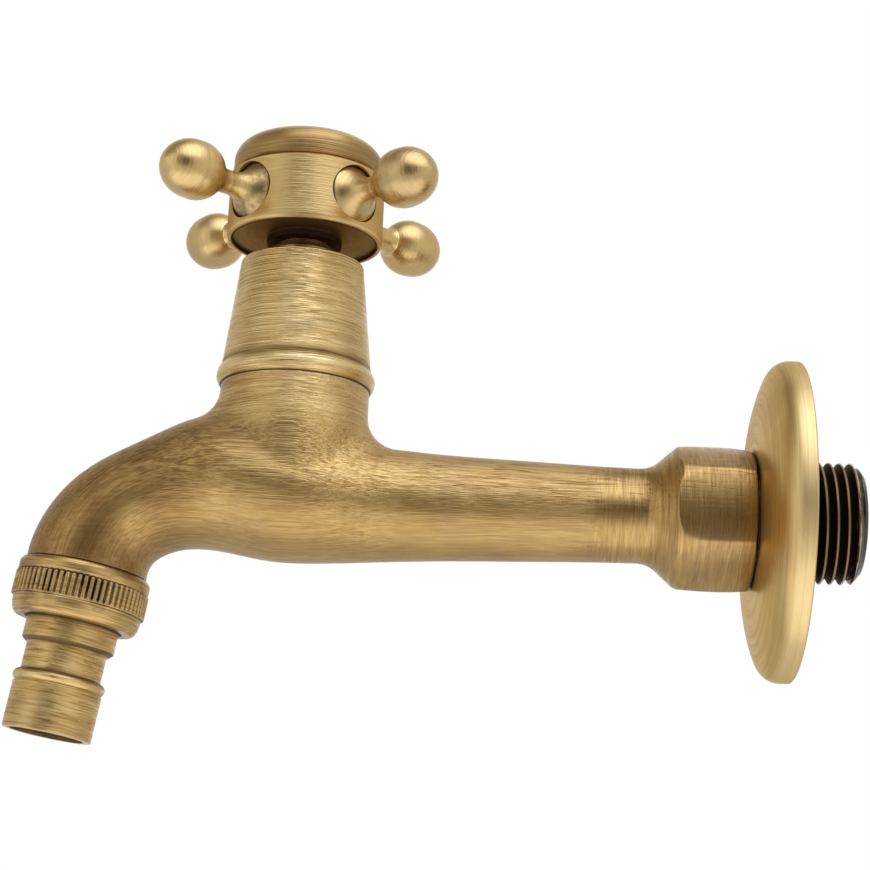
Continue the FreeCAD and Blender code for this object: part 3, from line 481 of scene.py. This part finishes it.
def headwork_brass():
    """The parts inside the bonnet: machined, and cleaner than the outside."""
    finish = Finish("machined_brass")
    streaks = turned_streaks(Lathe(finish, HANDLE_X, 0.0, 0.0), 0.3, 0.8, 0.01)
    return aged(finish, streaks, 0.3, 0.0, rough=0.3, lift=0.15)


def arm_brass():
    """The arms: fine turning lines round each knob, and painted shade with rust at the feet."""
    finish = Finish("turned_arm_brass")
    lathe = ArmLathe(finish)
    streaks = turned_streaks(lathe, 0.13, 1.2, 0.02)
    crease = lathe.along.band(20.3, 20.6, 0.1)
    # the feet are darkened a little all round as painted shade where they enter the hub, and more with rust
    # on the near left
    foot = lathe.along.rise(16.5, 14.5)
    near_left = (HANDLE_X - finish.x).rise(0.0, 4.0) * finish.y.rise(0.0, -4.0)
    rust = finish.cloud(1.3, 6.0).rise(0.4, 0.6) * near_left * 0.4
    return aged(finish, streaks, crease, foot * (rust + 0.12), rough=0.29, contrast=0.2, lift=0.25)


def plain(name, colour, roughness, metallic, grain):
    """A plain material with a fine grain."""
    finish = Finish(name)
    spots = finish.noise(finish.x * grain, finish.y * grain, finish.z * grain, detail=3.0)
    finish.bump(spots, 0.01)
    shade = finish.tint(spots, [part * 0.85 for part in colour], [min(1.0, part * 1.15) for part in colour])
    return finish.done(shade, roughness + (spots - 0.5) * 0.1, metallic)


def dress(material, *nodes):
    """Gives a material to CAD nodes."""
    for node in nodes:
        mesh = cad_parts[node].data
        mesh.materials.clear()
        mesh.materials.append(material)


class Shape(Nodes):
    """A Geometry Nodes tree with an incoming mesh and named sizes."""

    def __init__(self, name, sizes):
        super().__init__(bpy.data.node_groups.new(name, "GeometryNodeTree"))
        face = self.tree.interface
        face.new_socket("Mesh", in_out="OUTPUT", socket_type="NodeSocketGeometry")
        face.new_socket("Lining", in_out="INPUT", socket_type="NodeSocketGeometry")
        self.values = {}
        for label, value in sizes.items():
            kind = "NodeSocketInt" if isinstance(value, int) else "NodeSocketFloat"
            socket = face.new_socket(label, in_out="INPUT", socket_type=kind)
            self.values[socket.identifier] = value
        source = self.node("NodeGroupInput", output=None)
        self.lining = Signal(self, source.outputs[0])
        self.size = {out.name: Signal(self, out) for out in source.outputs[1:] if out.name}

    def sheet(self, columns, rows):
        """A grid of faces, with each point's share of the way round and of the way along."""
        sockets = {"Size X": 1.0, "Size Y": 1.0, "Vertices X": columns + 1, "Vertices Y": rows + 1}
        grid = self.node("GeometryNodeMeshGrid", {}, sockets)
        x, y, _ = self.split(self.node("GeometryNodeInputPosition"))
        return grid, x + 0.5, y + 0.5

    def close(self, grid, around, along, radius, material):
        """Turns the sheet round the Z axis, joins the lining to it and closes the seams."""
        angle = around * math.tau
        metres = radius / 1000
        place = self.joined(angle.cosine() * metres, angle.sine() * metres, along / 1000)
        moved = self.node("GeometryNodeSetPosition", {}, {"Geometry": grid, "Position": place})
        both = self.node("GeometryNodeJoinGeometry", {}, {"Geometry": [self.lining, moved]})
        closed = self.node("GeometryNodeMergeByDistance", {}, {"Geometry": both, "Distance": 0.00001})
        single = self.node("GeometryNodeRealizeInstances", {}, {"Geometry": closed})
        dressed = self.node("GeometryNodeSetMaterial", {}, {"Geometry": single, "Material": None})
        dressed.socket.node.inputs["Material"].default_value = material
        self.node("NodeGroupOutput", {}, {0: dressed}, output=None)


def turned_lining(name, outline, columns):
    """Turns an open outline of (radius, height) pairs in millimetres round the Z axis."""
    angles = [math.tau * column / columns for column in range(columns)]
    points = [(math.cos(angle) * radius / 1000, math.sin(angle) * radius / 1000, height / 1000)
              for radius, height in outline for angle in angles]
    faces = []
    for row in range(len(outline) - 1):
        for column in range(columns):
            after = (column + 1) % columns
            low, high = row * columns, (row + 1) * columns
            faces.append((low + column, low + after, high + after, high + column))
    mesh = bpy.data.meshes.new(name)
    mesh.from_pydata(points, [], faces)
    piece = bpy.data.objects.new(name, mesh)
    bpy.context.scene.collection.objects.link(piece)
    return piece


def shaped(piece, shape, x, z, lean, sharp):
    """Applies a shape's tree, turns its faces outwards and moves its axis to its place on the tap."""
    modifier = piece.modifiers.new(shape.tree.name, "NODES")
    modifier.node_group = shape.tree
    for identifier, value in shape.values.items():
        modifier[identifier] = value
    graph = bpy.context.evaluated_depsgraph_get()
    mesh = bpy.data.meshes.new_from_object(piece.evaluated_get(graph), depsgraph=graph)
    piece.modifiers.clear()
    piece.data = mesh
    solid = bmesh.new()
    solid.from_mesh(mesh)
    bmesh.ops.recalc_face_normals(solid, faces=solid.faces)
    solid.to_mesh(mesh)
    solid.free()
    mesh.transform(Matrix.Translation((x / 1000, 0, z / 1000)) @ Matrix.Rotation(math.radians(lean), 4, "Y"))
    mesh.shade_smooth()
    mesh.set_sharp_from_angle(angle=math.radians(sharp))
    return piece


def arc(start, end, bulge, steps):
    """Points of a quarter ellipse between (radius, height) pairs. It leaves along the height if it bulges."""
    points = []
    for step in range(1, steps + 1):
        turn = math.pi / 2 * step / steps
        shares = (1 - math.cos(turn), math.sin(turn)) if bulge else (math.sin(turn), 1 - math.cos(turn))
        points.append(tuple(a + (b - a) * share for a, b, share in zip(start, end, shares)))
    return points


def knurled_nut(material):
    """The coupling nut, with rounded grooves that run out in scallops over its lower shoulder."""
    columns, rows = 528, 30
    upper_band, above_knurl, below_knurl, lower_face = 11.2, 11.0, 10.95, 9.8
    thread, lip = 9.05, 7.88
    nut_top, lip_top = -0.15, -7.75
    outline = [(below_knurl, KNURL_BOTTOM), (below_knurl, KNURL_BOTTOM - 0.2)]
    outline += arc(outline[-1], (lower_face, NUT_BOTTOM), bulge=True, steps=8)
    outline += [(lip, NUT_BOTTOM), (lip, lip_top), (thread, lip_top), (thread, nut_top)]
    outline += [(upper_band - 1.0, nut_top)]
    outline += arc(outline[-1], (upper_band, nut_top - 1.0), bulge=False, steps=6)
    outline += [(upper_band, KNURL_TOP + 0.2), (above_knurl, KNURL_TOP)]
    sizes = {"Ridge radius": KNURL_RIDGE, "Top radius": above_knurl, "Bottom radius": below_knurl,
             "Top": KNURL_TOP, "Bottom": KNURL_BOTTOM, "Groove count": 66, "Groove depth": 0.34,
             "Groove width": 0.66, "Groove end": -6.25, "Columns": columns, "Rows": rows}
    shape = Shape("knurled_belt", sizes)
    size = shape.size
    grid, around, share = shape.sheet(size["Columns"], size["Rows"])
    along = size["Top"] + (size["Bottom"] - size["Top"]) * share
    spacing = size["Ridge radius"] * math.tau / size["Groove count"]
    aside = abs((around * size["Groove count"]).fraction() - 0.5) * spacing
    beyond = (size["Groove end"] - along).most(0.0)
    away = (aside * aside + beyond * beyond) ** 0.5 / size["Groove width"]
    upper = along.rise(KNURL_TOP, KNURL_TOP - 0.18)
    lower = along.rise(KNURL_BOTTOM, KNURL_BOTTOM + 0.35)
    radius = shape.blend(lower, size["Bottom radius"], size["Ridge radius"])
    radius = shape.blend(upper, size["Top radius"], radius)
    radius = radius - size["Groove depth"] * away.rise(0.5, 0.12) * upper
    shape.close(grid, around, along, radius, material)
    nut = shaped(turned_lining("knurled_nut", outline, columns), shape, MOUTH_X, MOUTH_Z, MOUTH_LEAN, 50)
    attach(nut, "nut")
    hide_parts("coupling_nut")


def cut_body(material):
    """The body without its boss and thread: the CAD body's own faces up to a plane across the inlet."""
    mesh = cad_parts["tap_body"].data.copy()
    shading = mesh.attributes.new("shading", "FLOAT_VECTOR", "CORNER")
    for corner, normal in zip(shading.data, mesh.corner_normals):
        corner.vector = normal.vector
    solid = bmesh.new()
    solid.from_mesh(mesh)
    bmesh.ops.remove_doubles(solid, verts=solid.verts, dist=0.000001)
    everything = solid.verts[:] + solid.edges[:] + solid.faces[:]
    plane = (BOSS_CUT_X / 1000, 0.0, 0.0)
    bmesh.ops.bisect_plane(solid, geom=everything, dist=0.0000001, plane_co=plane, plane_no=(1, 0, 0),
                           clear_outer=True)
    rim = [edge for edge in solid.edges if edge.is_boundary]
    filled = bmesh.ops.triangle_fill(solid, edges=rim, use_beauty=True, normal=(1, 0, 0))
    for face in filled["geom"]:
        if isinstance(face, bmesh.types.BMFace) and face.normal.x < 0:
            face.normal_flip()
    solid.to_mesh(mesh)
    solid.free()
    mesh.materials.clear()
    mesh.materials.append(material)
    mesh.shade_smooth()
    shading = mesh.attributes["shading"]
    mesh.normals_split_custom_set([tuple(corner.vector) for corner in shading.data])
    mesh.attributes.remove(mesh.attributes["shading"])
    body = bpy.data.objects.new("cast_body", mesh)
    bpy.context.scene.collection.objects.link(body)
    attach(body, "tap")
    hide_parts("tap_body")


def boss(material):
    """The barrel-shaped hexagon with softened corners, from the start of its cone to the wall plate."""
    columns, rows = 360, 110
    half_side = math.radians(30)
    corner, flat, rounding = 12.65, 11.7, 1.2
    barrel = corner + 0.1  # clear of the corners where the boss is widest
    start, end = 11.325, 11.2
    # The flats bulge on circles, which run into the corners' small ones without a crease
    corner_middle, inner = corner - rounding, flat - rounding
    shift = (inner ** 2 - corner_middle ** 2) / (2 * (corner_middle * math.cos(half_side) - inner))
    lean = math.atan2(corner_middle / 2, corner_middle * math.cos(half_side) + shift)
    corner_start = math.atan2((shift + flat) * math.sin(lean), (shift + flat) * math.cos(lean) - shift)
    outline = [(start, BOSS_CUT_X), (INLET_BORE, BOSS_CUT_X), (INLET_BORE, BOSS_END), (end, BOSS_END)]
    sizes = {"Start": BOSS_CUT_X, "End": BOSS_END, "Start radius": start, "Cone slope": 0.885,
             "Shoulder": -20.35, "Shoulder radius": 11.9, "Shoulder slope": 0.6, "Widest": -13.35,
             "Barrel radius": barrel, "Barrel curve": 0.0108, "End radius": end, "Rim slope": 2.4,
             "Corner middle": corner_middle, "Corner rounding": rounding, "Flat shift": shift,
             "Flat curve radius": shift + flat, "Corner start": corner_start, "Softness": 0.3,
             "Columns": columns, "Rows": rows}
    shape = Shape("soft_hexagon", sizes)
    size = shape.size
    grid, around, share = shape.sheet(size["Columns"], size["Rows"])
    along = size["Start"] + (size["End"] - size["Start"]) * share
    aside = abs((around * 6).fraction() - 0.5) * (2 * half_side)
    from_corner = half_side - aside
    shifted = size["Flat shift"] * aside.sine()
    on_flat = (size["Flat curve radius"] ** 2 - shifted ** 2) ** 0.5 - size["Flat shift"] * aside.cosine()
    lifted = size["Corner middle"] * from_corner.sine()
    round_part = (size["Corner rounding"] ** 2 - lifted ** 2).most(0.0) ** 0.5
    on_corner = size["Corner middle"] * from_corner.cosine() + round_part
    hexagon = shape.blend(aside.maths("GREATER_THAN", aside, size["Corner start"]), on_flat, on_corner)
    barrel = size["Barrel radius"] - (size["Widest"] - along).most(0.0) ** 2 * size["Barrel curve"]
    narrowing = (along - size["Widest"]).most(0.0) ** 2 * size["Barrel curve"]
    cone = size["Start radius"] + (along - size["Start"]) * size["Cone slope"]
    shoulder = size["Shoulder radius"] + (along - size["Shoulder"]) * size["Shoulder slope"]
    rim = size["End radius"] + (size["End"] - along) * size["Rim slope"]
    radius = hexagon.maths("SMOOTH_MIN", hexagon, barrel, size["Softness"]) - narrowing
    radius = radius.maths("SMOOTH_MIN", radius, shoulder, size["Softness"] * 0.5)
    radius = radius.least(cone).least(rim)
    shape.close(grid, around, along, radius, material)
    piece = shaped(turned_lining("boss", outline, columns), shape, 0, 0, 90, 35)
    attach(piece, "tap")
    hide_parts("tap_body")


def inlet_thread(material):
    """The inlet's helical thread, which runs out into a cone at its end, and the collar before it."""
    columns, rows_in_a_turn, turns, pitch = 240, 12, 9, 1.814
    root, collar, end = 9.3, 10.3, 8.75
    start, thread_start, recess_floor = -1.3, -0.5, 4.31
    outline = [(collar, start), (collar, BOSS_END), (INLET_BORE, BOSS_END), (INLET_BORE, recess_floor),
               (INLET_RECESS, recess_floor), (INLET_RECESS, INLET_END), (end, INLET_END)]
    sizes = {"Pitch": pitch, "Turns": turns, "First": -4.34, "Start": start, "End": INLET_END,
             "Root radius": root, "Thread height": THREAD_CREST - root, "Root share": 0.08,
             "Flank share": 0.86, "Collar radius": collar, "End radius": end, "End slope": 1.2,
             "Columns": columns, "Rows": turns * rows_in_a_turn}
    shape = Shape("thread_sleeve", sizes)
    size = shape.size
    grid, around, share = shape.sheet(size["Columns"], size["Rows"])
    turn = share * size["Turns"]
    along = (size["First"] + (turn + around) * size["Pitch"]).most(size["Start"]).least(size["End"])
    from_root = abs(turn.fraction() - 0.5) * 2
    height = ((from_root - size["Root share"]) / size["Flank share"]).most(0.0).least(1.0)
    radius = size["Root radius"] + size["Thread height"] * height
    radius = radius.least(size["End radius"] + (size["End"] - along) * size["End slope"])
    on_collar = along.rise(thread_start, thread_start - 0.1)
    radius = shape.blend(on_collar, radius, size["Collar radius"])
    shape.close(grid, around, along, radius, material)
    thread = shaped(turned_lining("inlet_thread", outline, columns), shape, 0, 0, 90, 40)
    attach(thread, "tap")
    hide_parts("tap_body")


dress(bonnet_brass(), "bonnet")
dress(hub_brass(), "handle_hub")
dress(cap_brass(), "hub_cap")
dress(plate_brass(), "escutcheon")
dress(tail_brass(), "hose_connector")
dress(headwork_brass(), "headwork_body", "spindle")
dress(arm_brass(), "arm_front_left", "arm_front_right", "arm_rear_left", "arm_rear_right")
dress(plain("black_rubber", (0.03, 0.03, 0.03), 0.6, 0.0, 3.0), "seat_seal", "lower_seal_ring",
      "upper_seal_ring", "hose_washer")
dress(plain("red_fibre", (0.35, 0.10, 0.06), 0.7, 0.0, 4.0), "headwork_gasket")
dress(plain("white_ceramic", (0.85, 0.84, 0.80), 0.2, 0.0, 2.0), "fixed_disc", "moving_disc")
dress(plain("pale_nylon", (0.80, 0.78, 0.70), 0.45, 0.0, 2.0), "thrust_washer")
dress(plain("spring_steel", (0.55, 0.55, 0.56), 0.35, 1.0, 3.0), "handle_screw")
dress(plain("browned_steel", (0.13, 0.075, 0.04), 0.45, 1.0, 3.0), "spindle_clip")
knurled_nut(nut_brass())
body_brass = cast_brass()
cut_body(body_brass)
boss(body_brass)
inlet_thread(thread_brass())


# Soft bright and dark sides of the studio: azimuth from the camera's side towards the wall and elevation
# of the middle, the angles from it at which it ends and is full, and how much lighter or darker it is
STUDIO_SIDES = [
    (22, 57, 43, 20, 1.15),
    (67, -3, 48, 14, 0.12),
    (-3, 8, 34, 10, -0.60),
    (-85, 65, 42, 13, -0.36),
    (-50, 14, 30, 8, 0.30),
    (-69, -51, 58, 18, 0.45),
    (180, 11, 38, 9, 0.32),
]


def make_floor():
    """Pale floor below the tap, which hangs on its wall fitting."""
    half, front, below = 2.0, -0.5, -0.2
    mesh = bpy.data.meshes.new("floor")
    corners = [(-half, front, below), (half, front, below), (half, half, below), (-half, half, below)]
    mesh.from_pydata(corners, [], [(0, 1, 2, 3)])
    floor = bpy.data.objects.new("floor", mesh)
    bpy.context.scene.collection.objects.link(floor)
    finish = Finish("pale_floor")
    mesh.materials.append(finish.done((0.74, 0.74, 0.74), 0.7, 0.0))


def make_lamp(name, place, aim, width, height, radiance):
    """A soft box that is a given number of times as bright as white."""
    light = bpy.data.lights.new(name, "AREA")
    light.shape = "RECTANGLE"
    light.size, light.size_y = width, height
    light.energy = radiance * math.pi * width * height
    lamp = bpy.data.objects.new(name, light)
    bpy.context.scene.collection.objects.link(lamp)
    lamp.location = place
    lamp.rotation_euler = (Vector(aim) - Vector(place)).to_track_quat("-Z", "Y").to_euler()
    lamp.visible_camera = False


def make_world():
    """White to the camera; round the tap the studio's bright and dark sides, which the brass reflects."""
    world = bpy.data.worlds.new("studio")
    bpy.context.scene.world = world
    world.use_nodes = True
    nodes = Nodes(world.node_tree)
    toward = nodes.node("ShaderNodeTexCoord", output="Generated")
    level = 0.68
    product = {"operation": "DOT_PRODUCT"}
    for azimuth, elevation, outer, inner, amount in STUDIO_SIDES:
        turn, lift = math.radians(azimuth), math.radians(elevation)
        middle = (math.sin(turn) * math.cos(lift), -math.cos(turn) * math.cos(lift), math.sin(lift))
        near = nodes.node("ShaderNodeVectorMath", product, {0: toward, 1: middle}, "Value")
        soft = near.rise(math.cos(math.radians(outer)), math.cos(math.radians(inner)))
        level = soft * amount + level
    stops = [(0.05, (1.0, 0.84, 0.64)), (0.4, (1.0, 0.97, 0.92)), (0.9, (0.94, 1.0, 1.22))]
    colour = nodes.node("ShaderNodeValToRGB", {"stops": stops}, {0: level * 0.55})
    seen = nodes.node("ShaderNodeLightPath", output="Is Camera Ray")
    white = (1.0, 1.0, 1.0, 1.0)
    colour = nodes.node("ShaderNodeMix", {"data_type": "RGBA"}, {0: seen, 6: colour, 7: white}, 2)
    sockets = {"Color": colour, "Strength": nodes.blend(seen, level, 1.0)}
    back = nodes.node("ShaderNodeBackground", {}, sockets)
    nodes.node("ShaderNodeOutputWorld", {}, {"Surface": back}, output=None)


def make_camera():
    """The photograph's camera: just below the tap, looking slightly up."""
    focal_pixels, frame_pixels, sensor = 2112.6, 870, 36.0
    yaw, pitch, roll = -0.019, 0.253, 0.045
    ahead = Vector((math.sin(yaw) * math.cos(pitch), math.cos(yaw) * math.cos(pitch), math.sin(pitch)))
    level = Vector((math.cos(yaw), -math.sin(yaw), 0.0))
    rise = level.cross(ahead)
    right = math.cos(roll) * level + math.sin(roll) * rise
    top = math.cos(roll) * rise - math.sin(roll) * level
    data = bpy.data.cameras.new("camera")
    data.sensor_width = sensor
    data.lens = focal_pixels / frame_pixels * sensor
    data.clip_start, data.clip_end = 0.01, 20.0
    camera = bpy.data.objects.new("camera", data)
    bpy.context.scene.collection.objects.link(camera)
    place = Vector((-55.0, -353.8, -78.6)) / 1000
    turn = Matrix((right, top, -ahead)).transposed().to_4x4()
    camera.matrix_world = Matrix.Translation(place) @ turn
    bpy.context.scene.camera = camera


make_floor()
make_lamp("soft_box", (0.07, -0.30, 0.50), (-0.06, 0.0, 0.0), 0.45, 0.45, 0.3)
make_lamp("light_table", (-0.12, -0.14, -0.19), (-0.12, -0.14, 0.0), 0.7, 0.30, 0.65)
make_world()
make_camera()
bpy.context.scene.view_settings.view_transform = "Standard"
